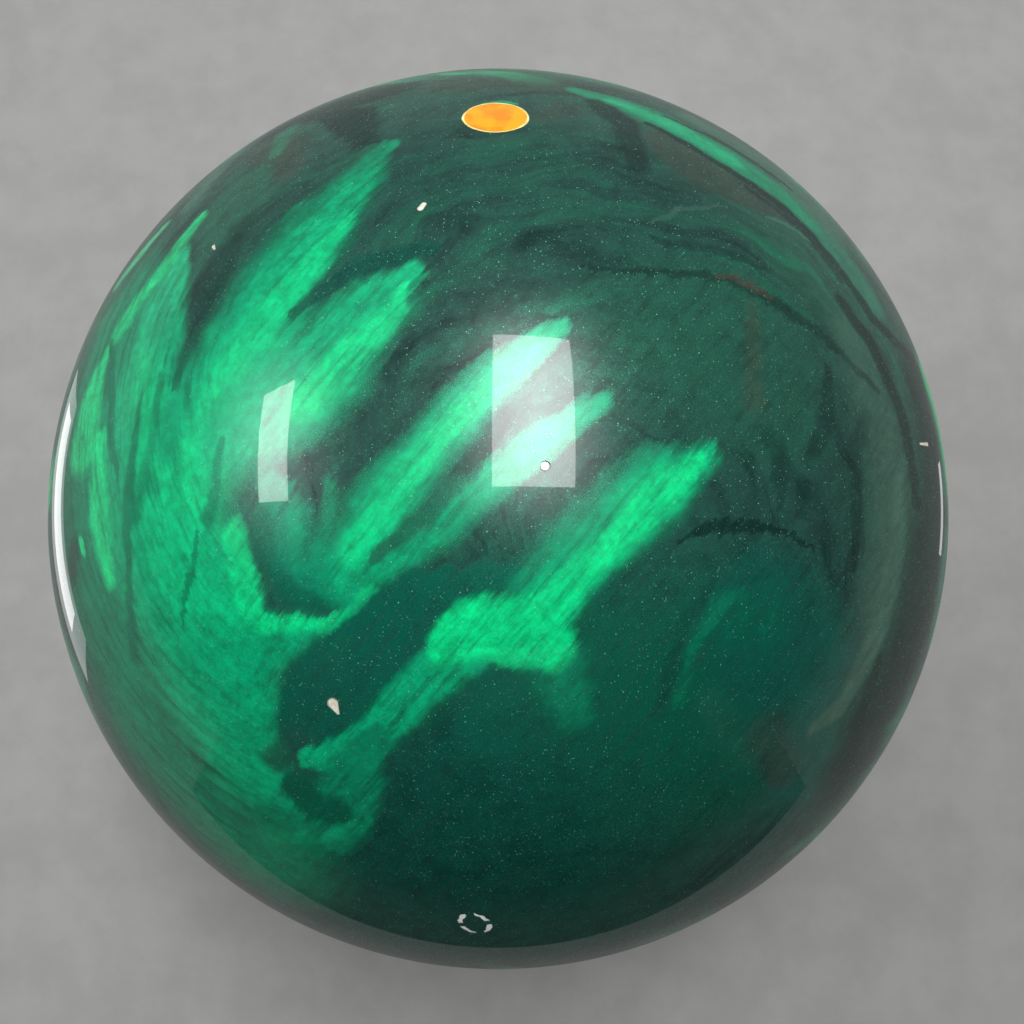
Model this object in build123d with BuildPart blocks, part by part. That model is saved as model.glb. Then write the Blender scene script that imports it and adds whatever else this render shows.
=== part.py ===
from build123d import *
import os

# Undrilled bowling ball: a cast coverstock over an outer core, with an asymmetric weight block inside.
# Frame: origin at the centre of the ball, +Z up as the ball rests, millimetres.
# Angles are in degrees: a heading turns from +X towards +Y, and an elevation rises from the XY plane.

# Ball
ball_diameter = 217.2
cover_thickness = 19.0

# Locator pin, the coloured plug that runs from the surface down into the top of the weight block
pin_heading = 90.0
pin_elevation = 56.5
pin_diameter = 11.8
pin_bore_diameter = 12.5
pin_socket_depth = 10.0

# Centre-of-gravity mark, a round dot
gravity_heading = -54.8
gravity_elevation = 82.3
gravity_dot_diameter = 1.46
gravity_recess_diameter = 1.7

# Mass-bias mark, a slightly tilted oval ring with a gap at each end of its two axes
bias_heading = -92.5
bias_elevation = 34.2
bias_ring_length = 9.2
bias_ring_width = 6.4
bias_ring_tilt = 15.0
bias_dash_width = 1.1
bias_end_gap = 1.5
bias_side_gap = 1.1

# Both marks are engraved, and filled with paint that dries a little below the surface
mark_depth = 0.5
paint_setback = 0.12

# Weight block, turned about the pin axis: a bulb, a waist, a collar and a tapering crown.
# Heights are measured from the middle of the block. Two flats face along the mass bias.
# The block is raised along the pin axis, which balances its heavy bulb, and then shifted towards
# the gravity mark, which puts the ball's centre of gravity under that mark.
block_height = 140.0
block_rise = 5.5
block_shift = 2.4
bulb_foot_radius = 27.0
bulb_radius = 48.0
bulb_lower_edge = -48.0
bulb_upper_edge = -20.0
waist_radius = 42.0
waist_level = -8.0
collar_radius = 53.0
collar_lower_edge = 3.0
collar_upper_edge = 20.0
crown_radius = 36.0
crown_level = 36.0
crown_top_radius = 24.0
profile_rounding = 7.0
flat_distance = 38.0
flat_edge_rounding = 5.0

ball_radius = ball_diameter / 2
core_radius = ball_radius - cover_thickness
pin_foot = block_rise + block_height / 2 - pin_socket_depth


def direction(heading, elevation):
    """Unit vector from the centre of the ball at a heading and an elevation."""
    return Vector(1, 0, 0).rotate(Axis.Y, -elevation).rotate(Axis.Z, heading)


def touching_plane(outward, tilt=0.0):
    """Plane that touches the ball, with x level and y towards the top, tilted about its normal."""
    level = Vector(0, 0, 1).cross(outward).normalized()
    tilted = level.rotate(Axis((0, 0, 0), outward), tilt)
    return Plane(origin=outward * ball_radius, x_dir=tilted, z_dir=outward)


def save(piece, name):
    """Label a finished piece and write it to its own STEP file."""
    piece.label = name
    export_step(piece, f"parts/{name}.step")


os.makedirs("parts", exist_ok=True)

pin_direction = direction(pin_heading, pin_elevation)
gravity_direction = direction(gravity_heading, gravity_elevation)
bias_direction = direction(bias_heading, bias_elevation)

# The block stands along the pin axis and turns its flats to the mass bias
across_bias = pin_direction.cross(bias_direction).normalized()
facing_bias = across_bias.cross(pin_direction)
block_centre = pin_direction * block_rise + gravity_direction * block_shift
block_plane = Plane(origin=block_centre, x_dir=facing_bias, z_dir=pin_direction)
block_section = Plane(origin=block_centre, x_dir=facing_bias, z_dir=-across_bias)
pin_plane = Plane(origin=(0, 0, 0), x_dir=facing_bias, z_dir=pin_direction)
gravity_plane = touching_plane(gravity_direction)
bias_plane = touching_plane(bias_direction, bias_ring_tilt)

# Outline of the engraved gravity dot, and of the four engraved dashes of the mass-bias ring
with BuildSketch(gravity_plane.offset(-mark_depth)) as gravity_recess:
    Circle(gravity_recess_diameter / 2)

with BuildSketch(bias_plane.offset(-mark_depth)) as bias_dashes:
    Ellipse(bias_ring_width / 2, bias_ring_length / 2)
    Ellipse(
        bias_ring_width / 2 - bias_dash_width,
        bias_ring_length / 2 - bias_dash_width,
        mode=Mode.SUBTRACT,
    )
    Rectangle(bias_end_gap, bias_ring_length, mode=Mode.SUBTRACT)
    Rectangle(bias_ring_width, bias_side_gap, mode=Mode.SUBTRACT)

# Full form of the weight block, before the pin's socket is cut
with BuildPart() as block_form:
    with BuildSketch(block_section) as block_profile:
        with BuildLine():
            Polyline(
                (0, -block_height / 2),
                (bulb_foot_radius, -block_height / 2),
                (bulb_radius, bulb_lower_edge),
                (bulb_radius, bulb_upper_edge),
                (waist_radius, waist_level),
                (collar_radius, collar_lower_edge),
                (collar_radius, collar_upper_edge),
                (crown_radius, crown_level),
                (crown_top_radius, block_height / 2),
                (0, block_height / 2),
                close=True,
            )
        make_face()
        outer_corners = block_profile.vertices().filter_by_position(Axis.X, 1, collar_radius)
        fillet(outer_corners, profile_rounding)
    revolve(axis=Axis(block_centre, pin_direction))
    with BuildSketch(block_plane):
        Rectangle(2 * flat_distance, 2 * collar_radius)
    extrude(amount=block_height / 2, both=True, mode=Mode.INTERSECT)
    flats = block_form.faces().filter_by(Plane(origin=block_centre, z_dir=facing_bias))
    fillet(flats.edges(), flat_edge_rounding)

with BuildPart() as weight_block:
    add(block_form.part)
    with BuildSketch(pin_plane.offset(pin_foot)):
        Circle(pin_bore_diameter / 2)
    extrude(amount=block_height / 2, mode=Mode.SUBTRACT)
save(weight_block.part, "weight_block")

# Outer core: a light sphere cast around the weight block
with BuildPart() as outer_core:
    Sphere(core_radius)
    add(block_form.part, mode=Mode.SUBTRACT)
    with BuildSketch(pin_plane.offset(pin_foot)):
        Circle(pin_bore_diameter / 2)
    extrude(amount=core_radius, mode=Mode.SUBTRACT)
save(outer_core.part, "outer_core")

# Coverstock: the outer shell, bored for the pin and engraved with the two marks
with BuildPart() as coverstock:
    Sphere(ball_radius)
    Sphere(core_radius, mode=Mode.SUBTRACT)
    with BuildSketch(pin_plane.offset(pin_foot)):
        Circle(pin_bore_diameter / 2)
    extrude(amount=ball_radius, mode=Mode.SUBTRACT)
    extrude(gravity_recess.sketch, amount=2 * mark_depth, mode=Mode.SUBTRACT)
    extrude(bias_dashes.sketch, amount=2 * mark_depth, mode=Mode.SUBTRACT)
save(coverstock.part, "coverstock")

# Locator pin and the thin sleeve of resin that bonds it, both flush with the surface of the ball
with BuildPart() as locator_pin:
    with BuildSketch(pin_plane.offset(pin_foot)):
        Circle(pin_diameter / 2)
    extrude(amount=ball_radius)
    Sphere(ball_radius, mode=Mode.INTERSECT)
save(locator_pin.part, "locator_pin")

with BuildPart() as pin_bond_sleeve:
    with BuildSketch(pin_plane.offset(pin_foot)):
        Circle(pin_bore_diameter / 2)
        Circle(pin_diameter / 2, mode=Mode.SUBTRACT)
    extrude(amount=ball_radius)
    Sphere(ball_radius, mode=Mode.INTERSECT)
save(pin_bond_sleeve.part, "pin_bond_sleeve")

# Paint in the two marks
with BuildPart() as gravity_mark:
    with BuildSketch(gravity_plane.offset(-mark_depth)):
        Circle(gravity_dot_diameter / 2)
    extrude(amount=2 * mark_depth)
    Sphere(ball_radius - paint_setback, mode=Mode.INTERSECT)
save(gravity_mark.part, "gravity_mark")

for number, dash_outline in enumerate(bias_dashes.sketch.faces().sort_by(Axis.Z), start=1):
    with BuildPart() as mass_bias_dash:
        extrude(dash_outline, amount=2 * mark_depth)
        Sphere(ball_radius - paint_setback, mode=Mode.INTERSECT)
    save(mass_bias_dash.part, f"mass_bias_dash_{number}")
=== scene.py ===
import math

import bmesh
import bpy
from mathutils import Matrix, Vector, noise


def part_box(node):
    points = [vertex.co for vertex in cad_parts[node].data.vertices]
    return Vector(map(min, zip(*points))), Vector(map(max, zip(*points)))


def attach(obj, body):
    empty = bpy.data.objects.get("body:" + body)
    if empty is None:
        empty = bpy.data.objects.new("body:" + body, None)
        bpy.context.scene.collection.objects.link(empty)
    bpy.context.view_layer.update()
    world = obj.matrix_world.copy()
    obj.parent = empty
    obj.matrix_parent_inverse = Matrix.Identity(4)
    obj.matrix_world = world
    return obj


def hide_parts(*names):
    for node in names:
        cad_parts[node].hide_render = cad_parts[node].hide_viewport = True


# The looks of an undrilled pearl bowling ball. Lengths are in metres, in the frame of the CAD parts:
# origin at the centre of the ball, +Z up, the locator pin over +Y and the mass-bias mark over -Y.

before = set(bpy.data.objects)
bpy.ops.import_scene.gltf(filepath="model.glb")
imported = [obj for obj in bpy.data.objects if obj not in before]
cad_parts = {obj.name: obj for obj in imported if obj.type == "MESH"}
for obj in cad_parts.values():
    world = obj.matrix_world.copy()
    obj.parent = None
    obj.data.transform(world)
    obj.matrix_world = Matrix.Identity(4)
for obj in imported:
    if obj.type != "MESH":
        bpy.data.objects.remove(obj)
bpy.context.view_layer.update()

BODY = "root"
DASHES = [f"mass_bias_dash_{number}" for number in range(1, 5)]


# ---------------------------------------------------------------- places taken from the frame

def box_middle(*nodes):
    """Middle of the box around one CAD node, or around several."""
    lows, highs = zip(*(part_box(node) for node in nodes))
    low = Vector(map(min, *lows)) if len(lows) > 1 else lows[0]
    high = Vector(map(max, *highs)) if len(highs) > 1 else highs[0]
    return (low + high) / 2


def touching_frame(outward):
    """Axes that touch the ball under a direction: x level, y towards the top, z outward."""
    z_axis = outward.normalized()
    x_axis = Vector((0, 0, 1)).cross(z_axis).normalized()
    y_axis = z_axis.cross(x_axis)
    return Matrix((x_axis, y_axis, z_axis)).transposed().to_4x4()


ball_low, ball_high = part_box("coverstock")
core_low, core_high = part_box("outer_core")
BALL_RADIUS = (ball_high.z - ball_low.z) / 2
CORE_RADIUS = (core_high.z - core_low.z) / 2
PIN_FRAME = touching_frame(box_middle("locator_pin"))
GRAVITY_FRAME = touching_frame(box_middle("gravity_mark"))
BIAS_FRAME = touching_frame(box_middle(*DASHES))

# Sizes of the pin and the marks, as the CAD parts have them
PIN_RADIUS = 0.0059
PIN_BORE_RADIUS = 0.00625
PIN_FOOT = 0.0655
GRAVITY_DOT_RADIUS = 0.00073
GRAVITY_RECESS_RADIUS = 0.00085
BIAS_RING_HALF_WIDTH = 0.0032
BIAS_RING_HALF_LENGTH = 0.0046
BIAS_RING_TILT = math.radians(15)
BIAS_DASH_WIDTH = 0.0011
BIAS_END_GAP = 0.0015
BIAS_SIDE_GAP = 0.0011
MARK_DEPTH = 0.0005
PAINT_SETBACK = 0.00012

# Softening of the engraved edges: its height, and how much wider it makes the mouth of the dot
SOFTENED_EDGE = 0.00008
DOT_FLARE = 1.12

# Fineness of the meshes: quads along a quarter of a sphere's girth, and points round an outline
COVER_CUTS = 108
HOLLOW_CUTS = 40
PIN_STEPS = 96
DOT_STEPS = 40
SHARP_ANGLE = math.radians(35)


# ---------------------------------------------------------------- mesh helpers

def finish_mesh(bm, name):
    """Turn a bmesh into a smooth-shaded object with sharp corners kept."""
    bmesh.ops.recalc_face_normals(bm, faces=bm.faces)
    mesh = bpy.data.meshes.new(name)
    bm.to_mesh(mesh)
    bm.free()
    mesh.shade_smooth()
    mesh.set_sharp_from_angle(angle=SHARP_ANGLE)
    piece = bpy.data.objects.new(name, mesh)
    bpy.context.scene.collection.objects.link(piece)
    return piece


def quad_sphere(bm, radius, cuts):
    """Add a sphere of even quads: six grids on a cube, pushed out to the radius."""
    corners = []
    for turn in (
        Matrix.Identity(4),
        Matrix.Rotation(math.pi, 4, "X"),
        Matrix.Rotation(math.pi / 2, 4, "X"),
        Matrix.Rotation(-math.pi / 2, 4, "X"),
        Matrix.Rotation(math.pi / 2, 4, "Y"),
        Matrix.Rotation(-math.pi / 2, 4, "Y"),
    ):
        place = turn @ Matrix.Translation((0, 0, 1))
        side = bmesh.ops.create_grid(bm, x_segments=cuts, y_segments=cuts, size=1, matrix=place)
        corners.extend(side["verts"])
    for corner in corners:
        even = [math.tan(value * math.pi / 4) for value in corner.co]
        corner.co = Vector(even).normalized() * radius
    bmesh.ops.remove_doubles(bm, verts=corners, dist=radius * 1e-5)


def on_ball(place, x, y, radius):
    """Point at a radius from the ball's centre, over (x, y) of a touching frame."""
    height = math.sqrt(radius * radius - x * x - y * y)
    return place @ Vector((x, y, height))


def loft(bm, rings, closed_ends=True):
    """Join rings of equally many points into a tube, and cap its two ends."""
    made = [[bm.verts.new(point) for point in ring] for ring in rings]
    count = len(made[0])
    for lower, upper in zip(made, made[1:]):
        for index in range(count):
            following = (index + 1) % count
            bm.faces.new((lower[index], lower[following], upper[following], upper[index]))
    if closed_ends:
        bm.faces.new(reversed(made[0]))
        bm.faces.new(made[-1])
    return made


def aim_normals_outward(piece, radius, tolerance=2e-5):
    """Give the faces on the ball's surface the normals of the true sphere."""
    mesh = piece.data
    on_surface = [abs(vertex.co.length - radius) < tolerance for vertex in mesh.vertices]
    normals = [Vector((0, 0, 0))] * len(mesh.loops)
    for face in mesh.polygons:
        outward = face.center.normalized()
        if face.normal.dot(outward) < 0.98 or not all(on_surface[index] for index in face.vertices):
            continue
        for loop in face.loop_indices:
            normals[loop] = mesh.vertices[mesh.loops[loop].vertex_index].co.normalized()
    mesh.normals_split_custom_set(normals)


def subtract(piece, cutters):
    """Cut other objects out of a piece, then delete them."""
    for cutter in cutters:
        cut = piece.modifiers.new("cut", "BOOLEAN")
        cut.operation = "DIFFERENCE"
        cut.solver = "EXACT"
        cut.object = cutter
    graph = bpy.context.evaluated_depsgraph_get()
    cut_mesh = bpy.data.meshes.new_from_object(piece.evaluated_get(graph))
    piece.modifiers.clear()
    piece.data = cut_mesh
    for cutter in cutters:
        bpy.data.objects.remove(cutter, do_unlink=True)


# ---------------------------------------------------------------- outlines of the pin and the marks

def uneven(angle, seed, amount):
    """Small smooth wobble round a hand-finished edge."""
    place = Vector((math.cos(angle), math.sin(angle), seed)) * 1.7
    return amount * noise.noise(place)


def bump_at(angle, middle, half_width, height):
    """One rounded bump in an outline, at an angle in degrees."""
    away = (math.degrees(angle) - middle + 180) % 360 - 180
    return height * math.exp(-((away / half_width) ** 2))


def pin_edge(angle):
    """Radius of the orange pin round its edge."""
    return PIN_RADIUS + uneven(angle, 1.3, 0.00008)


def bore_edge(angle):
    """Radius of the pale resin's outer edge, with the run-outs that the casting left."""
    radius = PIN_BORE_RADIUS + uneven(angle, 4.1, 0.00014)
    radius += bump_at(angle, 4, 11, 0.00020)
    radius += bump_at(angle, -27, 7, -0.00016)
    return radius + bump_at(angle, 165, 28, 0.00012)


def dot_edge(base, seed):
    """Outline of the round gravity mark as a function of the angle."""
    return lambda angle: base + uneven(angle, seed, 0.00003)


def dash_outline(quarter, grow=0.0, arc_steps=14):
    """Outline of one dash of the oval ring, in the plane that touches the ball."""
    outer = (BIAS_RING_HALF_WIDTH + grow, BIAS_RING_HALF_LENGTH + grow)
    inner = (outer[0] - BIAS_DASH_WIDTH - 2 * grow, outer[1] - BIAS_DASH_WIDTH - 2 * grow)
    points = []
    for (half_width, half_length), backwards in ((outer, False), (inner, True)):
        first = math.asin((BIAS_SIDE_GAP / 2 - grow) / half_length)
        last = math.acos((BIAS_END_GAP / 2 - grow) / half_width)
        angles = [first + (last - first) * step / arc_steps for step in range(arc_steps + 1)]
        if backwards:
            angles.reverse()
        for a in angles:
            x, y = half_width * math.cos(a), half_length * math.sin(a)
            swell = 1 + 0.12 * noise.noise(Vector((x * 900, y * 900, quarter)))
            points.append((x * swell, y * swell))
    flip_x = -1 if quarter in (1, 2) else 1
    flip_y = -1 if quarter in (2, 3) else 1
    turn = Matrix.Rotation(BIAS_RING_TILT, 2)
    turned = [turn @ Vector((x * flip_x, y * flip_y)) for x, y in points]
    return turned if flip_x * flip_y > 0 else turned[::-1]


def round_outline(edge, steps=PIN_STEPS):
    """Points round an outline given as a radius for each angle."""
    angles = [2 * math.pi * step / steps for step in range(steps)]
    return [Vector((edge(a) * math.cos(a), edge(a) * math.sin(a))) for a in angles]


# ---------------------------------------------------------------- pieces

def recess_cutter(name, place, outline, flared, depth):
    """Closed cutter for an engraved recess, whose mouth flares out to a softened edge."""
    bm = bmesh.new()
    above = 0.0004
    loft(bm, [
        [on_ball(place, x, y, BALL_RADIUS - depth) for x, y in outline],
        [on_ball(place, x, y, BALL_RADIUS - SOFTENED_EDGE) for x, y in outline],
        [on_ball(place, x, y, BALL_RADIUS + above) for x, y in flared],
    ])
    return finish_mesh(bm, name)


def make_coverstock():
    """The pearl shell, bored for the pin and engraved with the two marks."""
    bm = bmesh.new()
    quad_sphere(bm, BALL_RADIUS, COVER_CUTS)
    shell = finish_mesh(bm, "pearl_coverstock")
    bm = bmesh.new()
    quad_sphere(bm, CORE_RADIUS, HOLLOW_CUTS)
    hollow = finish_mesh(bm, "hollow")
    bore = round_outline(bore_edge)
    cutters = [hollow, recess_cutter("bore", PIN_FRAME, bore, bore, BALL_RADIUS - PIN_FOOT)]
    dot = round_outline(dot_edge(GRAVITY_RECESS_RADIUS, 2.2), DOT_STEPS)
    flared = [point * DOT_FLARE for point in dot]
    cutters.append(recess_cutter("dot", GRAVITY_FRAME, dot, flared, MARK_DEPTH))
    for quarter in range(4):
        outline, flared = dash_outline(quarter), dash_outline(quarter, SOFTENED_EDGE)
        cutters.append(recess_cutter(f"dash{quarter}", BIAS_FRAME, outline, flared, MARK_DEPTH))
    subtract(shell, cutters)
    shell.data.shade_smooth()
    shell.data.set_sharp_from_angle(angle=SHARP_ANGLE)
    aim_normals_outward(shell, BALL_RADIUS)
    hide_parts("coverstock")
    return shell


def plug_rings(place, outline, top_radius, rings=14):
    """Rings of a domed plug top, from the outline in towards the middle."""
    shares = [1 - ring / rings for ring in range(rings)]
    return [[on_ball(place, x * share, y * share, top_radius) for x, y in outline] for share in shares]


def make_pin():
    """The orange locator pin, flush with the ball and domed like it."""
    bm = bmesh.new()
    outline = round_outline(pin_edge)
    foot = [PIN_FRAME @ Vector((x, y, PIN_FOOT)) for x, y in outline]
    loft(bm, [foot] + plug_rings(PIN_FRAME, outline, BALL_RADIUS))
    pin = finish_mesh(bm, "orange_locator_pin")
    aim_normals_outward(pin, BALL_RADIUS)
    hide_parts("locator_pin")
    return pin


def make_bond_sleeve():
    """The pale resin between the pin and the bore, a thin tube with an uneven rim."""
    bm = bmesh.new()
    inner, outer = round_outline(pin_edge), round_outline(bore_edge)
    rings = [
        [PIN_FRAME @ Vector((x, y, PIN_FOOT)) for x, y in inner],
        [on_ball(PIN_FRAME, x, y, BALL_RADIUS) for x, y in inner],
        [on_ball(PIN_FRAME, *((a + b) / 2), BALL_RADIUS) for a, b in zip(inner, outer)],
        [on_ball(PIN_FRAME, x, y, BALL_RADIUS) for x, y in outer],
        [PIN_FRAME @ Vector((x, y, PIN_FOOT)) for x, y in outer],
    ]
    made = loft(bm, rings, closed_ends=False)
    count = len(inner)
    for index in range(count):
        following = (index + 1) % count
        bm.faces.new((made[-1][index], made[-1][following], made[0][following], made[0][index]))
    sleeve = finish_mesh(bm, "pin_bond_resin")
    aim_normals_outward(sleeve, BALL_RADIUS)
    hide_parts("pin_bond_sleeve")
    return sleeve


def paint_fill(name, place, outline, middle, seed):
    """Paint in a recess: its edge hangs back and its top is slightly crowned and rough."""
    bm = bmesh.new()
    rings = [[on_ball(place, x, y, BALL_RADIUS - MARK_DEPTH) for x, y in outline]]
    crown = ((1.0, 0.00021), (0.93, 0.00014), (0.8, PAINT_SETBACK), (0.5, PAINT_SETBACK))
    for share, setback in crown:
        ring = []
        for x, y in outline:
            point = middle + (Vector((x, y)) - middle) * share
            rough = 0.00002 * noise.noise(Vector((*point, seed)) * 3000)
            ring.append(on_ball(place, *point, BALL_RADIUS - setback + rough))
        rings.append(ring)
    loft(bm, rings)
    fill = finish_mesh(bm, name)
    return fill


def make_marks():
    """White paint in the gravity dot and in the four dashes of the mass-bias ring."""
    dot = round_outline(dot_edge(GRAVITY_DOT_RADIUS, 5.7), DOT_STEPS)
    fills = [paint_fill("gravity_dot_paint", GRAVITY_FRAME, dot, Vector((0, 0)), 1.0)]
    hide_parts("gravity_mark")
    for quarter in range(4):
        outline = dash_outline(quarter)
        middle = sum(outline, Vector((0, 0))) / len(outline)
        world_middle = on_ball(BIAS_FRAME, *middle, BALL_RADIUS)
        node = min(DASHES, key=lambda name: (box_middle(name) - world_middle).length)
        fill = paint_fill(f"{node}_paint", BIAS_FRAME, outline, middle, 3.0 + quarter)
        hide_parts(node)
        fills.append(fill)
    return fills


# ---------------------------------------------------------------- node helper

class Nodes:
    """Builds one node tree, so that a pattern reads as a formula.

    Values are kept in range by MINIMUM and MAXIMUM, not by the nodes' own clamp: with the clamp on,
    a tree as long as the swirl runs out of Cycles' stack and turns black.
    """

    def __init__(self, tree):
        self.tree = tree

    def object_place(self):
        """The shaded point in the piece's own axes, which are the ball's."""
        return self.add("ShaderNodeTexCoord").outputs["Object"]

    def add(self, kind, **settings):
        node = self.tree.nodes.new(kind)
        for name, value in settings.items():
            setattr(node, name, value)
        return node

    def put(self, socket, value):
        if isinstance(value, bpy.types.NodeSocket):
            self.tree.links.new(value, socket)
        elif value is not None:
            socket.default_value = value

    def math(self, operation, *values):
        node = self.add("ShaderNodeMath", operation=operation)
        for socket, value in zip(node.inputs, values):
            self.put(socket, value)
        return node.outputs[0]

    def share(self, value):
        """The value, kept from 0 to 1."""
        return self.math("MINIMUM", self.math("MAXIMUM", value, 0.0), 1.0)

    def vector(self, operation, *values, scale=None):
        node = self.add("ShaderNodeVectorMath", operation=operation)
        for socket, value in zip(node.inputs, values):
            self.put(socket, value)
        if scale is not None:
            self.put(node.inputs["Scale"], scale)
        return node.outputs["Value" if operation in ("DOT_PRODUCT", "LENGTH", "DISTANCE") else "Vector"]

    def split(self, vector):
        node = self.add("ShaderNodeSeparateXYZ")
        self.put(node.inputs[0], vector)
        return tuple(node.outputs)

    def join(self, x, y, z=0.0):
        node = self.add("ShaderNodeCombineXYZ")
        for socket, value in zip(node.inputs, (x, y, z)):
            self.put(socket, value)
        return node.outputs[0]

    def step(self, value, low, high, from_low=0.0, to_high=1.0):
        """Smooth step: from_low up to a value of low, and to_high from high on."""
        node = self.add("ShaderNodeMapRange", interpolation_type="SMOOTHSTEP", clamp=False)
        for socket, number in zip(node.inputs, (value, low, high, from_low, to_high)):
            self.put(socket, number)
        return node.outputs["Result"]

    def noise(self, place, scale, detail=2.0, roughness=0.5, distortion=0.0, colour=False):
        node = self.add("ShaderNodeTexNoise")
        self.put(node.inputs["Vector"], place)
        for name, value in (
            ("Scale", scale), ("Detail", detail), ("Roughness", roughness), ("Distortion", distortion)
        ):
            node.inputs[name].default_value = value
        return node.outputs["Color" if colour else "Fac"]

    def cells(self, place, scale):
        """Voronoi cells, as the distance from each cell's seed and a random colour of the cell."""
        node = self.add("ShaderNodeTexVoronoi", feature="F1")
        self.put(node.inputs["Vector"], place)
        node.inputs["Scale"].default_value = scale
        return node.outputs["Distance"], node.outputs["Color"]

    def bump(self, height, strength, distance):
        node = self.add("ShaderNodeBump")
        node.inputs["Strength"].default_value = strength
        node.inputs["Distance"].default_value = distance
        self.put(node.inputs["Height"], height)
        return node.outputs["Normal"]

    def wire(self, shader, values):
        """Set a shader's sockets, or link them."""
        for name, value in values.items():
            self.put(shader.inputs[name], value)

    def mix(self, factor, below, above, blend="MIX"):
        node = self.add("ShaderNodeMix", data_type="RGBA", blend_type=blend)
        self.put(node.inputs["Factor"], factor)
        self.put(node.inputs["A"], as_rgba(below))
        self.put(node.inputs["B"], as_rgba(above))
        return node.outputs["Result"]


def as_rgba(colour):
    return (*colour, 1.0) if isinstance(colour, tuple) and len(colour) == 3 else colour


def new_material(name):
    """A material with an empty Principled shader, as (material, nodes, shader)."""
    material = bpy.data.materials.new(name)
    material.use_nodes = True
    tree = material.node_tree
    shader = next(node for node in tree.nodes if node.type == "BSDF_PRINCIPLED")
    return material, Nodes(tree), shader


def dress(piece, material):
    """Give a whole object one material."""
    slots = piece.data.materials
    slots.clear()
    slots.append(material)
    for slot in piece.material_slots:
        slot.link = "OBJECT"
        slot.material = material


# ---------------------------------------------------------------- the pearl swirl

# Dark resin of the swirl
INK = (0.0020, 0.0120, 0.0110)
BLACK_GREEN = (0.0002, 0.0370, 0.0270)
DEEP_GREEN = (0.0003, 0.0700, 0.0400)
TEAL = (0.0010, 0.0580, 0.0450)
NOTCH = (0.0003, 0.0650, 0.0420)
FINGER = (0.0003, 0.0700, 0.0450)

# Dull resin: slates, browns and grey greens
SLATE = (0.0110, 0.0350, 0.0300)
MOSS = (0.0100, 0.0570, 0.0360)
BROWN = (0.0220, 0.0300, 0.0250)
RUST = (0.0600, 0.0250, 0.0200)
GREY_GREEN = (0.0500, 0.1100, 0.0800)
LICHEN = (0.0200, 0.1500, 0.0950)

# Pearl resin, from the deepest to the palest
BAY = (0.0005, 0.1700, 0.0900)
SEA_GREEN = (0.0010, 0.2000, 0.0950)
EMERALD = (0.0003, 0.3500, 0.1500)
BRIGHT = (0.0005, 0.6600, 0.2200)
PALE = (0.0600, 0.6400, 0.2800)

# Mica flakes with a painted glint on the large ones, and dust on the ball with one painted highlight
FLAKE = (0.0400, 0.3800, 0.2400)
SPARK = (0.2000, 0.6000, 0.4200)
DUST_AND_HIGHLIGHT = (0.8000, 0.7600, 0.6400)

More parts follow.
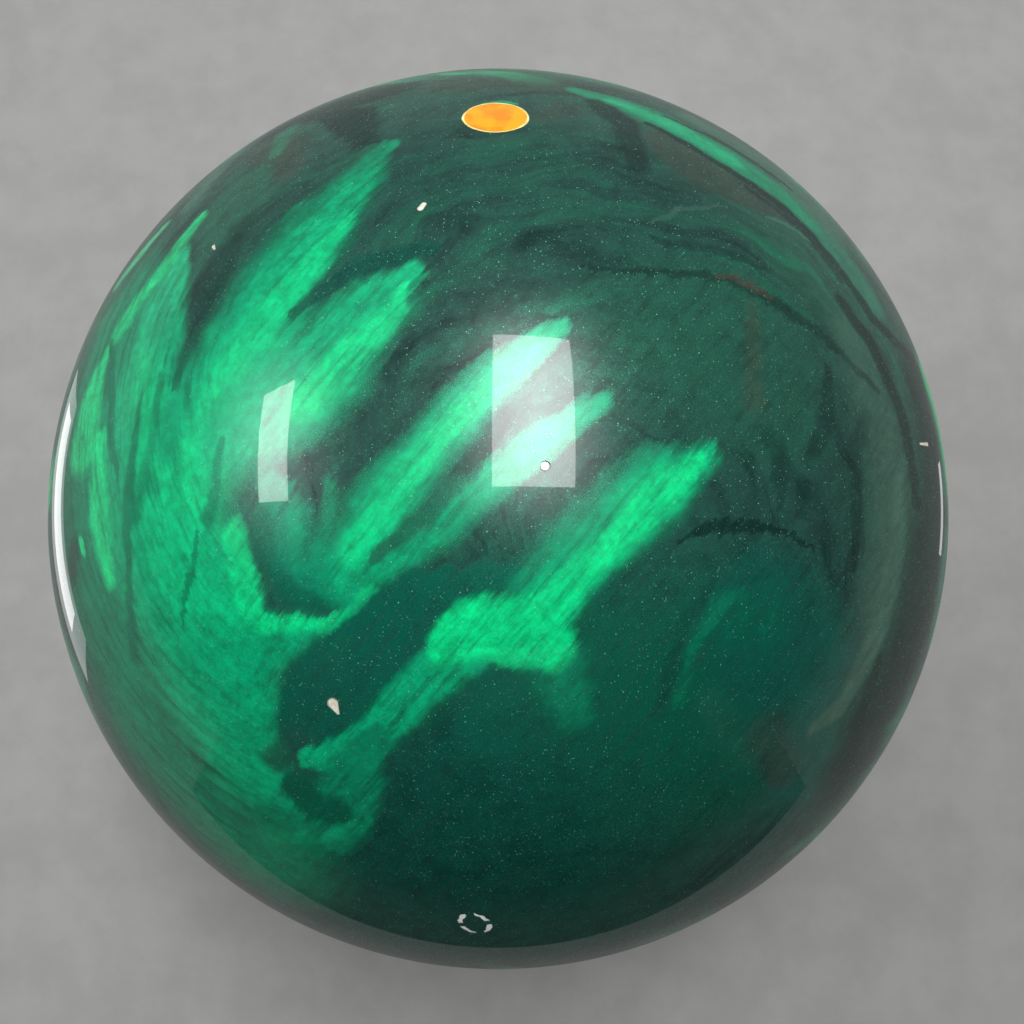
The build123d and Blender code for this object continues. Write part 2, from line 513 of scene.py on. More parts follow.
# Streaks of the swirl, laid over each other in this order. Each is a colour, an opacity, a softness
# and a path of (east, north, half-width), in degrees of arc over the ball from its top.
STREAKS = (
    # Broad grounds
    (DEEP_GREEN, 0.9, 0.7, ((8, -28, 14), (25, -30, 12))),
    (TEAL, 0.85, 0.5, ((25, -19, 6), (31, -25, 7), (34, -38, 5))),
    (BLACK_GREEN, 0.9, 0.5, ((-2, -32, 5), (-3, -45, 17), (0, -62, 26))),
    (SEA_GREEN, 0.85, 0.6, ((-44, 16, 7), (-40, -5, 12), (-35, -30, 13), (-28, -45, 10))),
    (MOSS, 0.8, 0.5, ((-28, 29, 4), (-29, 22, 3.5))),
    (MOSS, 0.8, 0.7, ((17, 6, 8), (26, 2, 6))),
    (GREY_GREEN, 0.5, 0.6, ((38, 10, 3), (42, 0, 4.5), (43, -10, 4), (42, -18, 3))),
    (INK, 0.8, 0.5, ((53, 12, 3), (56, -4, 5), (52, -22, 6), (46, -38, 7))),
    # Dark blots above the left half
    (INK, 0.95, 0.3, ((-20, 40, 1.6), (-16, 37, 3), (-14, 32, 2), (-12, 31, 1.2))),
    (SLATE, 0.9, 0.4, ((-9, 38, 2.5), (-9, 32, 3.4), (-5, 28, 1.5))),
    (BROWN, 0.9, 0.4, ((-27, 36, 3), (-23, 33, 2.6), (-22.5, 28, 1.6))),
    (INK, 0.9, 0.5, ((-28, 42, 3), (-13, 44.5, 3.4))),
    (BROWN, 0.8, 0.5, ((-6, 43.5, 3), (6, 43, 2.4))),
    (SEA_GREEN, 0.3, 0.6, ((-25, 33, 0.8), (-25, 39, 1.6))),
    # The emerald field on the left
    (EMERALD, 0.9, 0.35, (
        (-34.5, 20, 1.4), (-35, 13, 3.4), (-36, 5, 5), (-35, -8, 8), (-31, -17, 7.5), (-27, -27, 7),
        (-26, -35, 4.5),
    )),
    (EMERALD, 0.85, 0.5, ((-28, -21, 4), (-20, -21.5, 2.4), (-14, -20.5, 1.6))),
    (BRIGHT, 0.3, 0.6, ((-36, 6, 2), (-32, -5, 5), (-30, -14, 5), (-25, -18, 3))),
    # Long streak that falls from the upper middle to the left
    (SEA_GREEN, 0.9, 0.4, (
        (-11.2, 29.3, 1), (-13.4, 24, 2.6), (-17, 18, 3.8), (-21, 12.5, 4), (-24, 7, 4.4),
        (-28, -1, 5),
    )),
    (EMERALD, 0.8, 0.5, (
        (-12.4, 25, 1.2), (-15.4, 19.5, 2.2), (-19.5, 13.5, 3), (-24, 6, 4), (-28, -2, 4.4),
    )),
    (BRIGHT, 0.45, 0.6, (
        (-13.6, 19.5, 0.7), (-17, 14.5, 1.4), (-20.6, 9.5, 2.2), (-24, 3, 3.2), (-28, -5, 4),
    )),
    (SEA_GREEN, 0.6, 0.4, ((-19.5, 21.5, 0.5), (-20.5, 20.3, 0.4))),
    (INK, 0.55, 0.6, ((-25.5, 21, 1.6), (-28.5, 13, 1.8), (-29.6, 8, 1), (-31.5, 3, 0.4))),
    # Leaf beside it, and the dark wedge between them
    (EMERALD, 0.9, 0.4, (
        (-7.3, 12, 1.2), (-10.5, 8.7, 3.2), (-14.5, 4.7, 4.6), (-19, 1, 5), (-24, -3, 4),
    )),
    (BRIGHT, 0.55, 0.6, ((-8, 10, 0.8), (-10.5, 6, 1.6), (-14, 2.5, 2), (-17, -0.5, 1.4))),
    (BLACK_GREEN, 0.9, 0.4, ((-6, 14.6, 0.9), (-12, 13.2, 1.2), (-18.8, 8.5, 0.5))),
    # Streaks on the far left
    (BRIGHT, 0.6, 0.6, ((-33, 26, 0.6), (-37, 19.5, 1.2), (-43, 13, 1.4))),
    (PALE, 0.6, 0.5, ((-41, 29, 0.6), (-45, 26, 1.4), (-49, 23.5, 1))),
    (GREY_GREEN, 0.6, 0.6, ((-37, 31, 2), (-36, 37, 2))),
    (SLATE, 0.6, 0.4, ((-40, 27, 0.4), (-46, 21.5, 1.2), (-50, 19, 1))),
    (BRIGHT, 0.6, 0.4, ((-45, 11, 0.8), (-46.5, 5, 2.6), (-47.5, 0, 3.2))),
    (BRIGHT, 0.7, 0.5, ((-43.5, 0, 1.2), (-43.5, -8, 1.8), (-42, -15, 1.2))),
    (DEEP_GREEN, 0.6, 0.5, ((-44, 12, 0.5), (-42, 6, 0.8), (-41, -1, 0.8), (-40, -4, 0.4))),
    (DEEP_GREEN, 0.6, 0.5, ((-36, 4, 0.3), (-38.4, -8, 1), (-38, -14, 0.5), (-38.8, -24, 1))),
    (DEEP_GREEN, 0.4, 0.6, ((-33, 5, 0.4), (-34.5, -2, 0.6), (-37, -9, 0.8))),
    (DEEP_GREEN, 0.5, 0.4, ((-28.5, -11, 0.25), (-29.5, -16, 0.4), (-30.8, -20, 0.2))),
    (BROWN, 0.8, 0.6, ((-50, -12, 2), (-51.5, -14, 1.6))),
    (BRIGHT, 0.7, 0.4, ((-47.7, -11, 0.6), (-47.3, -12.5, 0.5))),
    # Dark bay under the left lamp, and its ragged bright shore
    (BRIGHT, 0.7, 0.4, (
        (-24, -12, 1.4), (-23.4, -17, 1.4), (-22, -20, 1), (-15, -19.8, 0.7), (-11, -17, 0.7),
    )),
    (BAY, 0.95, 0.4, ((-20, -8, 1.4), (-18.6, -12, 3), (-17, -15.4, 3), (-13.5, -16.6, 1.4))),
    (DEEP_GREEN, 0.6, 0.4, ((-21, -10, 0.9), (-20.6, -14, 1), (-18.4, -17.3, 1.1), (-14.5, -17.6, 0.8))),
    (EMERALD, 0.45, 0.7, ((-18, -10, 0.4), (-17.5, -14, 1))),
    (EMERALD, 0.4, 0.7, ((-14.5, -8, 0.6), (-15.5, -13.5, 0.8))),
    (DEEP_GREEN, 0.6, 0.5, ((-25, -3, 0.4), (-27, -10, 0.9))),
    # Streaks that rise under the middle
    (EMERALD, 0.9, 0.55, (
        (5.5, 6.5, 0.8), (0, 1.5, 1.8), (-5, -4.5, 2), (-10, -10.5, 3), (-13, -15, 2.6),
    )),
    (BRIGHT, 0.5, 0.6, ((3, 4, 0.8), (-3, -2.5, 1.1), (-8, -8.5, 1.6), (-12, -13, 1.6))),
    (EMERALD, 0.8, 0.7, ((9, -1, 1), (3, -5.5, 1.3), (-4, -10.5, 1.5), (-10, -15, 1.4))),
    (SLATE, 0.7, 0.5, ((-1, -6.5, 0.6), (-6, -10.5, 0.8), (-10, -13.6, 0.6))),
    # Dark finger
    (FINGER, 0.97, 0.2, (
        (2, -14.6, 0.8), (-6, -17, 2.4), (-10.5, -21.5, 3.8), (-14.8, -26, 4.6), (-17.5, -29.5, 3.4),
    )),
    (BLACK_GREEN, 0.5, 0.6, ((-12, -24, 1), (-16, -28, 2))),
    (SLATE, 0.7, 0.6, ((-19, -31, 1.8), (-22.5, -34, 1.2))),
    # Arch with its tail and its two legs, and the notch under it
    (EMERALD, 0.9, 0.35, (
        (-2, -21.4, 2.6), (-6.8, -26, 2.2), (-11, -30.2, 1.9), (-15.5, -32.6, 1.7), (-18.5, -33, 1),
    )),
    (SEA_GREEN, 0.7, 0.6, ((4, -21, 2.6), (6.6, -25.5, 2.2), (7.4, -28, 1.6))),
    (EMERALD, 0.85, 0.55, ((19, -4.6, 1.2), (14, -7.8, 2.8), (9, -12.4, 2.6), (5, -16.5, 3))),
    (BRIGHT, 0.9, 0.6, ((18, -5.3, 0.8), (14.5, -8, 1.8), (11, -11.5, 1.5), (8, -15, 1.4), (5, -18, 2))),
    (BRIGHT, 0.95, 0.3, ((5, -21.6, 2.4), (3, -19.8, 3.2), (-1, -19.8, 2.8), (-4, -21.6, 2))),
    (NOTCH, 0.85, 0.35, ((0.6, -24.6, 1.2), (0.2, -26.4, 2.2), (0.4, -29, 3.4))),
    # Loop that closes the arch's left leg
    (SEA_GREEN, 0.95, 0.3, (
        (-11, -30.5, 1.4), (-13, -34.5, 3), (-16.5, -39.5, 3.8), (-21.5, -44, 4.2), (-26, -48, 4),
    )),
    (EMERALD, 0.5, 0.6, ((-13, -39.6, 0.6), (-18, -42.6, 1), (-24, -44, 1))),
    (EMERALD, 0.5, 0.6, ((-24, -36, 0.8), (-21, -39.6, 0.8))),
    (DEEP_GREEN, 0.85, 0.4, ((-20.5, -36, 1.2), (-18.6, -38.4, 1.8), (-16, -38.6, 1.4))),
    # Bands round the upper right
    (LICHEN, 0.75, 0.6, ((29, 33, 2), (35, 29.5, 3), (41, 24, 3.6), (45, 18, 2.4))),
    (SEA_GREEN, 0.9, 0.5, (
        (9, 42.4, 1), (14, 40.4, 2), (20, 37.4, 3), (26, 34.4, 3), (32, 30.8, 1.8), (38, 26, 1),
    )),
    (EMERALD, 0.8, 0.6, ((13, 40.4, 0.7), (20.5, 37.3, 1.5), (28, 33, 1.3))),
    (GREY_GREEN, 0.6, 0.6, ((24, 43, 2), (33, 38, 2.4), (42, 30, 3))),
    (INK, 0.75, 0.4, ((20, 40, 0.4), (28, 37.5, 0.7), (36, 33, 0.4))),
    (INK, 0.8, 0.45, ((11, 39, 1.2), (14, 34, 1.8), (14.5, 27, 1.4))),
    (BROWN, 0.9, 0.2, ((18.6, 32, 2.6), (22, 28, 3.2), (27.5, 26.4, 2.6), (31, 25.4, 1.2))),
    (INK, 0.9, 0.4, (
        (17, 35.6, 0.5), (25, 31.2, 0.7), (33, 26.8, 0.8), (39, 21, 1), (44, 15.2, 0.9),
        (56, 12.4, 0.8),
    )),
    (INK, 0.7, 0.4, ((27, 28.4, 0.4), (34, 24, 0.6), (39, 18.5, 0.6))),
    (INK, 0.85, 0.4, ((38, 15, 1), (42.5, 10.5, 1.3), (46.5, 4, 1.3), (49.5, -6, 1))),
    (BROWN, 0.7, 0.4, ((4.6, 33.5, 1), (8, 36.5, 2))),
    (EMERALD, 0.7, 0.6, ((-1.5, 36.3, 0.3), (0.5, 36.7, 0.5), (2.5, 36.5, 0.3))),
    (GREY_GREEN, 0.4, 0.5, ((15.5, 18.5, 0.15), (18, 21.4, 0.3), (24, 23.2, 0.15))),
    (GREY_GREEN, 0.7, 0.5, ((29, 23.5, 0.2), (32, 23.4, 0.4), (35, 22.3, 0.2))),
    # Dark veins and blots over the right
    (INK, 0.7, 0.5, ((8, 12.8, 0.2), (20, 12.8, 0.6), (28, 11.6, 0.8), (33, 9.6, 0.6), (42, 5.2, 0.5))),
    (RUST, 0.6, 0.5, ((21, 13, 0.4), (24.5, 12.9, 0.6), (27, 12, 0.3))),
    (RUST, 0.25, 0.7, ((24.5, 10, 0.8), (24, 1, 1.2))),
    (INK, 0.5, 0.5, ((15, 16.6, 0.3), (20, 16.3, 0.8), (27, 15.7, 0.3))),
    (INK, 0.6, 0.5, ((33.5, 6, 0.5), (33, 0, 1.2), (31, -3, 0.8))),
    (INK, 0.5, 0.5, ((39, 2, 1), (36.6, -3, 1.1), (37, -12, 0.7))),
    (INK, 0.45, 0.5, ((25, -1.5, 0.8), (27, -4, 1.1), (27, -8.5, 0.5))),
    (INK, 0.85, 0.4, (
        (16.4, -12, 0.3), (20, -10.9, 0.6), (25, -10.4, 0.5), (28, -11, 0.3), (31, -13, 0.2),
    )),
    # Speckled ridge and grey arcs at the lower right
    (INK, 0.4, 0.6, ((20, -15.6, 0.5), (17.2, -20.5, 0.9), (15.6, -28.5, 0.8))),
    (SEA_GREEN, 0.5, 0.7, ((17.4, -28, 0.6), (18.6, -22, 0.8), (20.4, -18, 0.9), (23, -16.6, 0.7))),
    (SEA_GREEN, 0.25, 0.8, ((22, -20, 2), (25, -20, 3))),
    (LICHEN, 0.3, 0.7, ((21, -28, 1.6), (26, -33, 2))),
    (BROWN, 0.7, 0.5, ((28, -31, 2.4), (31, -36, 2.6))),
    (GREY_GREEN, 0.9, 0.5, (
        (34, -31, 0.7), (38, -28.7, 1.3), (42, -22, 1.8), (45, -13, 1.6), (45, -4, 1),
    )),
    (INK, 0.7, 0.4, ((43.6, -24, 0.8), (43, -31, 1.4), (44, -38, 1.2))),
)

# Flecks of dust on the ball, and one painted highlight (a small pale triangle), in the same terms
DUST_AND_HIGHLIGHT_FLECKS = (
    (DUST_AND_HIGHLIGHT, 1.0, 0.3, ((-6.9, 19.1, 0.28), (-6.6, 19.6, 0.24))),
    # Painted highlight: a small pale reflection on the gloss, painted in the dust colour
    (DUST_AND_HIGHLIGHT, 1.0, 0.3, ((-14.8, -27.2, 0.5), (-14.4, -28.1, 0.15))),
    (DUST_AND_HIGHLIGHT, 0.8, 0.3, ((-29.5, 19.5, 0.2), (-29.2, 19, 0.12))),
    (DUST_AND_HIGHLIGHT, 1.0, 0.3, ((50.8, 1.2, 0.12), (53.5, 1.8, 0.24))),
)

# Distance that no streak reaches, in half-widths
FAR = 100.0

# Directions in which the resin ran: straight over the middle, and round two centres beside it
POUR = math.radians(50)
LEFT_EDDY = (-5.0, 4.0, 0.0)
RIGHT_EDDY = (4.0, -14.0, 0.0)

# Cells of the mica flakes, counted along a radius of the ball, and the share that holds a large one,
# painted as a pale glinting speck
SPECK_CELLS = 380.0
SPECK_SHARE = 0.20
FLAKE_CELLS = 3200.0


def streak_group():
    """Node group: how far a point lies from one stretch of a streak, in half-widths."""
    group = bpy.data.node_groups.new("streak stretch", "ShaderNodeTree")
    for name, kind in (
        ("Point", "Vector"), ("Start", "Vector"), ("Run", "Vector"),
        ("Start width", "Float"), ("Widening", "Float"), ("Nearest", "Float"),
    ):
        group.interface.new_socket(name, in_out="INPUT", socket_type=f"NodeSocket{kind}")
    group.interface.new_socket("Nearest", in_out="OUTPUT", socket_type="NodeSocketFloat")
    nodes = Nodes(group)
    point, start, run, width, widening, nearest = list(nodes.add("NodeGroupInput").outputs)[:6]
    away = nodes.vector("SUBTRACT", point, start)
    along = nodes.vector("DOT_PRODUCT", away, run)
    share = nodes.share(nodes.math("DIVIDE", along, nodes.vector("DOT_PRODUCT", run, run)))
    foot = nodes.vector("SCALE", run, scale=share)
    distance = nodes.vector("DISTANCE", away, foot)
    here = nodes.math("MULTIPLY_ADD", share, widening, width)
    ratio = nodes.math("DIVIDE", distance, here)
    nodes.put(nodes.add("NodeGroupOutput").inputs[0], nodes.math("MINIMUM", ratio, nearest))
    return group


def lay_streak(nodes, group, point, below, fibre, streak):
    """Mix one streak over the colour so far."""
    colour, opacity, softness, path = streak
    nearest = FAR
    for (east, north, width), (next_east, next_north, next_width) in zip(path, path[1:]):
        stretch = nodes.add("ShaderNodeGroup", node_tree=group)
        values = (
            point, (east, north, 0.0), (next_east - east, next_north - north, 0.0),
            width, next_width - width, nearest,
        )
        for socket, value in zip(stretch.inputs, values):
            nodes.put(socket, value)
        nearest = stretch.outputs[0]
    cover = nodes.step(nearest, 1.0 - softness, 1.0 + softness, opacity, 0.0)
    cover = nodes.math("MINIMUM", nodes.math("MULTIPLY", cover, fibre), 1.0)
    return nodes.mix(cover, below, colour)


def flat_map(nodes, outward):
    """Degrees east and north of the ball's top."""
    x, y, z = nodes.split(outward)
    angle = nodes.math("MULTIPLY", nodes.math("ARCCOSINE", z), 180 / math.pi)
    level = nodes.join(x, y)
    stretch = nodes.math("DIVIDE", angle, nodes.math("MAXIMUM", nodes.vector("LENGTH", level), 1e-4))
    return nodes.vector("SCALE", level, scale=stretch)


def eddy(nodes, flat, centre):
    """Distance from an eddy's centre, the angle round it, and the direction of its flow."""
    away = nodes.vector("SUBTRACT", flat, centre)
    away_x, away_y, _ = nodes.split(away)
    turn = nodes.math("ARCTAN2", away_x, away_y)
    flow = nodes.vector("NORMALIZE", nodes.join(nodes.math("MULTIPLY", away_y, -1.0), away_x))
    return nodes.vector("LENGTH", away), turn, flow


def centred(nodes, noise):
    """A noise colour as a vector round zero."""
    return nodes.vector("SUBTRACT", noise, (0.5, 0.5, 0.5))


def flow_of_left(nodes, flat):
    """Fibres of the left half and of the middle, and the direction in which they run.

    The fibres curve round the left eddy in the west, follow the pour elsewhere, and die out in the
    north-east.
    """
    along = nodes.vector("DOT_PRODUCT", flat, (math.cos(POUR), math.sin(POUR), 0.0))
    across = nodes.vector("DOT_PRODUCT", flat, (-math.sin(POUR), math.cos(POUR), 0.0))
    straight = nodes.noise(nodes.join(nodes.math("MULTIPLY", along, 0.13), across), 1.0, 6.0, 0.72)
    radius, turn, round_flow = eddy(nodes, flat, LEFT_EDDY)
    curved = nodes.noise(nodes.join(nodes.math("MULTIPLY", turn, 4.5), radius), 1.0, 6.0, 0.72)
    east, _, _ = nodes.split(flat)
    at_left = nodes.step(east, -30.0, -18.0, 1.0, 0.0)
    fibres = nodes.math("MULTIPLY_ADD", at_left, nodes.math("SUBTRACT", curved, straight), straight)
    north_east = nodes.vector("DOT_PRODUCT", flat, (0.6, 0.8, 0.0))
    calm = nodes.step(north_east, 22.0, 34.0, 1.0, 0.0)
    fibres = nodes.math("MULTIPLY_ADD", nodes.math("SUBTRACT", fibres, 0.5), calm, 0.5)
    turned = nodes.vector("SUBTRACT", round_flow, (-math.cos(POUR), -math.sin(POUR), 0.0))
    direction = nodes.vector("SCALE", turned, scale=at_left)
    direction = nodes.vector("SUBTRACT", direction, (math.cos(POUR), math.sin(POUR), 0.0))
    return fibres, direction


def ground_colour(nodes, flat, wander, ripple):
    """Slate green behind the streaks, in flame-like bands that bend round the right eddy.

    The lighter bands fade towards the south and the far north.
    """
    moved = nodes.vector("ADD", flat, nodes.vector("SCALE", wander, scale=9.0))
    moved = nodes.vector("ADD", moved, nodes.vector("SCALE", ripple, scale=0.5))
    radius, turn, _ = eddy(nodes, moved, RIGHT_EDDY)
    spiral = nodes.math("MULTIPLY_ADD", turn, -9.0, radius)
    bands = nodes.noise(nodes.join(spiral, nodes.math("MULTIPLY", turn, 6.0)), 0.36, 4.0, 0.58, 0.25)
    _, north, _ = nodes.split(flat)
    south_fade = nodes.step(north, -4.0, 14.0, 0.25, 1.0)
    shown = nodes.math("MULTIPLY", south_fade, nodes.step(north, 26.0, 36.0, 1.0, 0.4))
    colour = nodes.mix(nodes.step(bands, 0.30, 0.48, 0.25, 1.0), INK, SLATE)
    for low, high, most, lighter in ((0.46, 0.58, 0.65, MOSS), (0.58, 0.74, 0.4, SEA_GREEN)):
        cover = nodes.math("MULTIPLY", nodes.step(bands, low, high, 0.0, most), shown)
        colour = nodes.mix(cover, colour, lighter)
    return colour


def free_swirl(nodes, outward, wander):
    """Swirl for the rest of the ball: flames of pearl that run down the sides and fold over.

    Returns the colour, and the smooth field that it follows.
    """
    bend = centred(nodes, nodes.noise(outward, 1.3, 1.0, colour=True))
    folded = nodes.vector("ADD", outward, nodes.vector("SCALE", bend, scale=1.6))
    folded = nodes.vector("ADD", folded, nodes.vector("SCALE", wander, scale=0.35))
    drawn = nodes.vector("MULTIPLY", folded, (1.0, 1.0, 0.35))
    field = nodes.noise(drawn, 2.1, 3.0, 0.5)
    fibre = nodes.noise(nodes.vector("MULTIPLY", folded, (1.0, 1.0, 0.16)), 16.0, 5.0, 0.68)
    level = nodes.math("MULTIPLY_ADD", nodes.math("SUBTRACT", fibre, 0.5), 0.22, field)
    colour = BLACK_GREEN
    for low, high, lighter in (
        (0.36, 0.46, SLATE), (0.45, 0.52, DEEP_GREEN), (0.52, 0.57, SEA_GREEN), (0.56, 0.62, EMERALD),
        (0.62, 0.70, BRIGHT),
    ):
        colour = nodes.mix(nodes.step(level, low, high), colour, lighter)
    return colour, field


def swirl_colour(nodes, outward):
    """Colour of the swirl: the streaks over the top of the ball, and a free swirl elsewhere."""
    flat = flat_map(nodes, outward)
    wander = centred(nodes, nodes.noise(outward, 5.0, 2.0, colour=True))
    ripple = centred(nodes, nodes.noise(outward, 30.0, 4.0, 0.65, colour=True))
    fibres, direction = flow_of_left(nodes, flat)
    pull = nodes.math("MULTIPLY", nodes.math("SUBTRACT", fibres, 0.5), 4.0)
    warped = nodes.vector("ADD", flat, nodes.vector("SCALE", wander, scale=3.0))
    warped = nodes.vector("ADD", warped, nodes.vector("SCALE", ripple, scale=1.1))
    warped = nodes.vector("ADD", warped, nodes.vector("SCALE", direction, scale=pull))
    warped = nodes.vector("MULTIPLY", warped, (1.0, 1.0, 0.0))
    fibre_cover = nodes.step(fibres, 0.30, 0.55, 0.5, 1.08)

    colour = ground_colour(nodes, flat, wander, ripple)
    group = streak_group()
    for streak in STREAKS:
        colour = lay_streak(nodes, group, warped, colour, fibre_cover, streak)
    crumple = nodes.noise(outward, 24.0, 5.0, 0.62, 0.4)
    hollows = nodes.step(crumple, 0.34, 0.62, 0.84, 1.14)
    shade = nodes.math("MULTIPLY", hollows, nodes.step(fibres, 0.34, 0.62, 0.86, 1.08))
    colour = nodes.mix(1.0, colour, nodes.join(shade, shade, shade), "MULTIPLY")
    for fleck in DUST_AND_HIGHLIGHT_FLECKS:
        colour = lay_streak(nodes, group, flat, colour, 1.0, fleck)

    free, field = free_swirl(nodes, outward, wander)
    reach = nodes.vector("DISTANCE", flat, (0.0, -10.0, 0.0))
    rim = nodes.math("MULTIPLY_ADD", nodes.math("SUBTRACT", field, 0.5), 40.0, reach)
    return nodes.mix(nodes.step(rim, 60.0, 76.0), colour, free)


def pearl_material():
    """Polished pearl resin: pigment and mica flakes beneath a clear gloss."""
    material, nodes, shader = new_material("pearl coverstock")
    outward = nodes.vector("NORMALIZE", nodes.object_place())
    colour = swirl_colour(nodes, outward)

    # Grainy relief of the pearl, seen as light and dark grains in the pigment
    relief = nodes.noise(outward, 70.0, 5.0, 0.7)
    colour = nodes.mix(nodes.step(relief, 0.36, 0.60, 0.22, 0.0), colour, BLACK_GREEN)

    # A few large flakes are painted as pale specks: partly the flakes' own pale colour, partly a painted
    # glint that shows wherever the light comes from
    from_speck, speck_cell = nodes.cells(outward, SPECK_CELLS)
    chosen, size, shine = nodes.split(speck_cell)
    near = nodes.math("LESS_THAN", from_speck, nodes.math("MULTIPLY", size, 0.38))
    flake_glint = nodes.math("MULTIPLY", nodes.math("GREATER_THAN", chosen, 1 - SPECK_SHARE), near)
    shine = nodes.math("MULTIPLY_ADD", nodes.math("POWER", shine, 3.0), 0.75, 0.22)
    colour = nodes.mix(nodes.math("MULTIPLY", flake_glint, shine), colour, SPARK)

    # Fine mica flakes lie nearly flat, and mirror the lamps as a haze round each highlight.
    # The dark resin holds few of them.
    _, flake_cell = nodes.cells(outward, FLAKE_CELLS)
    picked, turned_x, turned_y = nodes.split(flake_cell)
    _, green, _ = nodes.split(colour)
    richness = nodes.step(green, 0.01, 0.09, 0.08, 1.0)
    bare = nodes.math("MULTIPLY", nodes.step(picked, 0.75, 0.85), richness)
    colour = nodes.mix(bare, colour, FLAKE, "LIGHTEN")
    normal = nodes.add("ShaderNodeNewGeometry").outputs["Normal"]
    crossways = nodes.vector("CROSS_PRODUCT", outward, (0.36, 0.48, 0.80))
    turned = nodes.vector("SCALE", crossways, scale=nodes.math("SUBTRACT", turned_x, 0.5))
    lengthways = nodes.vector("CROSS_PRODUCT", outward, crossways)
    lengthways = nodes.vector("SCALE", lengthways, scale=nodes.math("SUBTRACT", turned_y, 0.5))
    turned = nodes.vector("SCALE", nodes.vector("ADD", turned, lengthways), scale=0.22)
    tilted = nodes.vector("NORMALIZE", nodes.vector("ADD", normal, turned))

    # The pearl's own sheen spreads out at a glancing view, where only the clear gloss mirrors sharply
    nodes.wire(shader, {"Base Color": colour, "Metallic": bare, "Normal": tilted})
    facing = nodes.add("ShaderNodeLayerWeight").outputs["Facing"]
    haze = nodes.math("MULTIPLY_ADD", bare, 0.10, nodes.step(relief, 0.3, 0.7, 0.27, 0.21))
    roughness = nodes.math("MAXIMUM", haze, nodes.step(facing, 0.35, 0.72))
    nodes.wire(shader, {
        "Roughness": roughness, "Specular IOR Level": 0.37, "IOR": 1.5,
        "Coat Weight": 0.45, "Coat Roughness": 0.015, "Coat IOR": 1.5, "Coat Normal": normal,
    })
    return material


def pin_material():
    """Orange cast resin with cloudy lighter patches, polished with the ball."""
    material, nodes, shader = new_material("orange pin resin")
    place = nodes.object_place()
    cloud = nodes.noise(place, 170.0, 3.0, 0.6)
    specks = nodes.noise(place, 1500.0, 3.0, 0.6)
    colour = nodes.mix(nodes.step(cloud, 0.42, 0.62), (1.0, 0.22, 0.006), (1.0, 0.34, 0.006))
    colour = nodes.mix(nodes.step(specks, 0.6, 0.8, 0.0, 0.3), colour, (1.0, 0.55, 0.08))
    roughness = nodes.step(specks, 0.3, 0.7, 0.32, 0.45)
    nodes.wire(shader, {
        "Base Color": colour, "Roughness": roughness, "Coat Weight": 0.3, "Coat Roughness": 0.08,
    })
    return material


def bond_material():
    """Pale yellow bonding resin, a little uneven where it ran."""
    material, nodes, shader = new_material("pin bond resin")
    cloud = nodes.noise(nodes.object_place(), 420.0, 3.0, 0.6)
    colour = nodes.mix(nodes.step(cloud, 0.35, 0.65), (0.62, 0.50, 0.14), (0.68, 0.72, 0.32))
    roughness = nodes.step(cloud, 0.3, 0.7, 0.25, 0.4)
    nodes.wire(shader, {
        "Base Color": colour, "Roughness": roughness, "Coat Weight": 0.6, "Coat Roughness": 0.05,
    })
    return material


def paint_material():
    """White fill paint, dried with a fine grain and a little dirt."""
    material, nodes, shader = new_material("mark paint")
    place = nodes.object_place()
    dirt = nodes.noise(place, 900.0, 4.0, 0.65)
    colour = nodes.mix(nodes.step(dirt, 0.5, 0.8, 0.0, 0.4), (0.95, 0.97, 0.92), (0.60, 0.62, 0.56))
    grain = nodes.noise(place, 6000.0, 3.0, 0.6)
    nodes.wire(shader, {
        "Base Color": colour,
        "Roughness": nodes.step(grain, 0.3, 0.7, 0.5, 0.7),
        "Normal": nodes.bump(grain, 0.35, 0.00003),
    })
    return material


def cast_material(name, light, dark, scale, roughness, fleck, fleck_share):
    """Cast filler: mottled, pitted and flecked, for the pieces inside the ball."""
    material, nodes, shader = new_material(name)
    place = nodes.object_place()
    mottle = nodes.noise(place, scale, 5.0, 0.6)
    pits = nodes.noise(place, scale * 9, 3.0, 0.7)
    from_fleck, _ = nodes.cells(place, scale * 14)
    colour = nodes.mix(nodes.step(mottle, 0.3, 0.7), dark, light)
    colour = nodes.mix(nodes.step(from_fleck, 0.12, 0.22, fleck_share, 0.0), colour, fleck)
    nodes.wire(shader, {
        "Base Color": colour,
        "Roughness": nodes.step(pits, 0.3, 0.7, roughness, roughness + 0.2),
        "Normal": nodes.bump(pits, 0.5, 0.0003),
    })
    return material


# ---------------------------------------------------------------- camera, light and floor

def make_camera():
    """Camera close over the ball, 79 degrees up on the -Y side."""
    elevation = math.radians(79)
    distance = 0.2759
    framing_right, framing_up = 0.0031, 0.0015
    forward = Vector((0, math.cos(elevation), -math.sin(elevation)))
    up = Vector((0, math.sin(elevation), math.cos(elevation)))
    camera = bpy.data.objects.new("camera", bpy.data.cameras.new("camera"))
    camera.data.sensor_width = 36.0
    camera.data.lens = 36.98
    camera.data.clip_start = 0.01
    camera.location = Vector((framing_right, 0, 0)) + up * framing_up - forward * distance
    camera.rotation_mode = "QUATERNION"
    camera.rotation_quaternion = forward.to_track_quat("-Z", "Y")
    bpy.context.scene.collection.objects.link(camera)
    bpy.context.scene.camera = camera
    bpy.context.scene.view_settings.view_transform = "Standard"


def area_light(name, centre, size, radiance, aim=None, glossy=True):
    """Rectangular lamp of an even radiance, facing down or towards a point."""
    lamp = bpy.data.lights.new(name, "AREA")
    lamp.shape = "RECTANGLE"
    lamp.size, lamp.size_y = size
    lamp.energy = radiance * math.pi * size[0] * size[1]
    light = bpy.data.objects.new(name, lamp)
    light.location = centre
    light.visible_camera = False
    light.visible_glossy = glossy
    if aim is not None:
        light.rotation_mode = "QUATERNION"
        light.rotation_quaternion = (Vector(aim) - Vector(centre)).to_track_quat("-Z", "Y")
    bpy.context.scene.collection.objects.link(light)


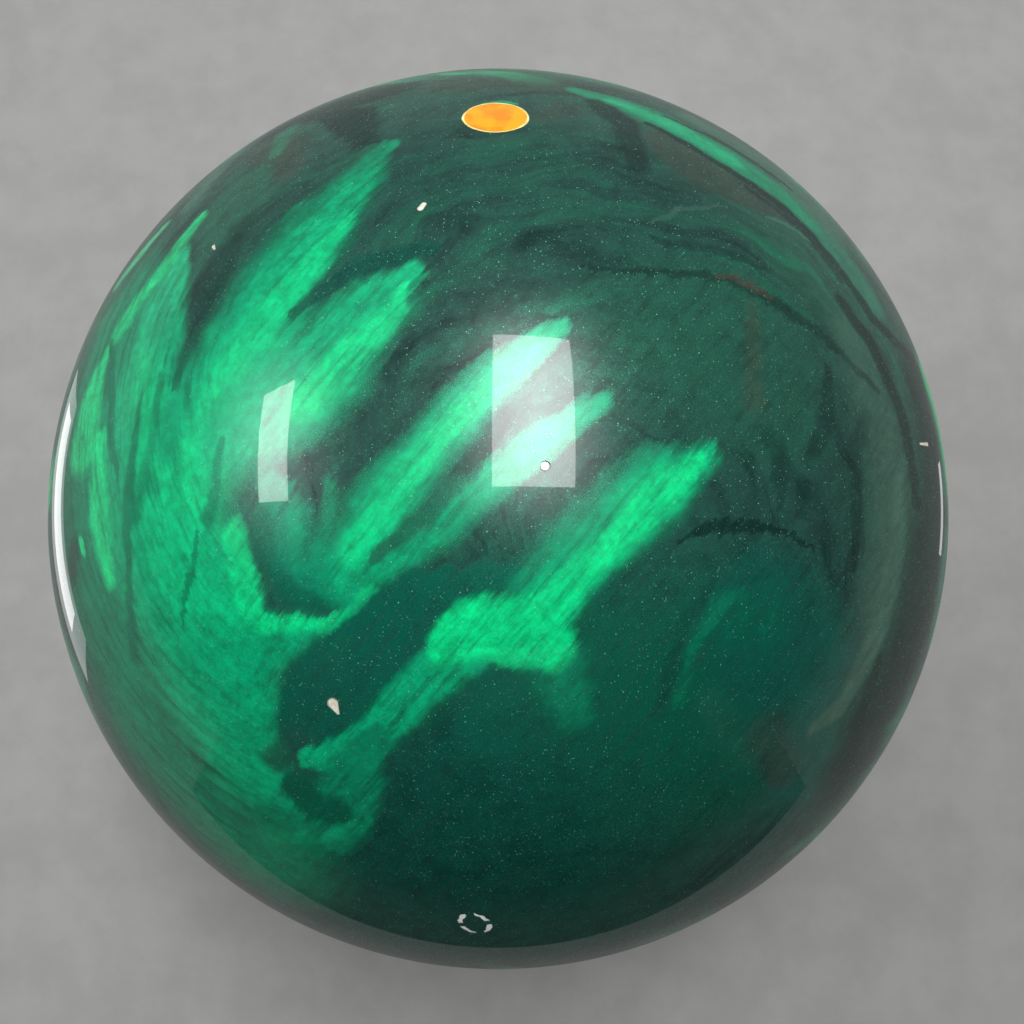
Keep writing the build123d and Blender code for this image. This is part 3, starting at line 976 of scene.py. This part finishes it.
def make_floor():
    """Plain floor under the ball, with a faint mottle."""
    bm = bmesh.new()
    bmesh.ops.create_grid(bm, x_segments=1, y_segments=1, size=3.0)
    for corner in bm.verts:
        corner.co.z = -BALL_RADIUS
    floor = finish_mesh(bm, "floor")
    material, nodes, shader = new_material("floor")
    tone = nodes.noise(nodes.object_place(), 60.0, 4.0, 0.6)
    colour = nodes.mix(nodes.step(tone, 0.3, 0.7), (0.214, 0.212, 0.207), (0.240, 0.238, 0.232))
    nodes.wire(shader, {"Base Color": colour, "Roughness": 0.6})
    dress(floor, material)


def make_lights():
    """Two ceiling panels with a soft fill, and low cards that light the rim of the ball."""
    panel, radiance = (0.60, 1.20), 15.0
    area_light("ceiling panel", (0.263, 0.471, 1.864), panel, radiance)
    area_light("far ceiling panel", (-2.264, 0.418, 1.833), panel, radiance)
    area_light("soft fill", (-0.4, 0.8, 1.7), (1.8, 1.8), 2.5, aim=(0, 0, 0), glossy=False)
    area_light("left card", (-0.262, 0.02, -0.106), (0.045, 0.13), 3.6, aim=(-0.262, 0.02, 1))
    area_light("left card edge", (-0.262, 0.015, -0.107), (0.08, 0.17), 1.3, aim=(-0.262, 0.015, 1))
    area_light("right card", (0.232, 0.025, -0.107), (0.015, 0.05), 2.0, aim=(0.232, 0.025, 1))


def make_flag():
    """Black card on the -Y side, seen only in the gloss: the darker end of the room."""
    flag = bpy.data.objects.new("dark flag", bpy.data.meshes.new("dark flag"))
    side, depth, foot, head = 0.3, -0.25, -0.108, 0.35
    corners = [(-side, depth, foot), (side, depth, foot), (side, depth, head), (-side, depth, head)]
    flag.data.from_pydata(corners, [], [(0, 1, 2, 3)])
    bpy.context.scene.collection.objects.link(flag)
    material, _, shader = new_material("dark flag")
    shader.inputs["Base Color"].default_value = (0.01, 0.01, 0.01, 1)
    dress(flag, material)
    flag.visible_camera = False
    flag.visible_shadow = False
    flag.visible_diffuse = False


def make_surround():
    """Dim cool surround, darker on the -Y side."""
    world = bpy.data.worlds.new("surround")
    bpy.context.scene.world = world
    world.use_nodes = True
    nodes = Nodes(world.node_tree)
    direction = nodes.add("ShaderNodeTexCoord").outputs["Generated"]
    _, depth, _ = nodes.split(direction)
    background = world.node_tree.nodes["Background"]
    background.inputs["Color"].default_value = (0.94, 0.97, 1.0, 1)
    nodes.put(background.inputs["Strength"], nodes.step(depth, -0.6, 0.5, 0.02, 0.16))


# ---------------------------------------------------------------- making

make_camera()
make_floor()
make_lights()
make_flag()
make_surround()

coverstock = make_coverstock()
dress(coverstock, pearl_material())
pin = make_pin()
dress(pin, pin_material())
sleeve = make_bond_sleeve()
dress(sleeve, bond_material())
fills = make_marks()
paint = paint_material()
for fill in fills:
    dress(fill, paint)
for piece in (coverstock, pin, sleeve, *fills):
    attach(piece, BODY)

filler = cast_material(
    "outer core filler", light=(0.60, 0.57, 0.50), dark=(0.44, 0.41, 0.35), scale=40.0, roughness=0.6,
    fleck=(0.16, 0.15, 0.13), fleck_share=0.6,
)
dress(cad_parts["outer_core"], filler)
ceramic = cast_material(
    "weight block ceramic", light=(0.42, 0.10, 0.06), dark=(0.28, 0.06, 0.04), scale=55.0, roughness=0.4,
    fleck=(0.70, 0.55, 0.45), fleck_share=0.5,
)
dress(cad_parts["weight_block"], ceramic)

bpy.context.view_layer.update()
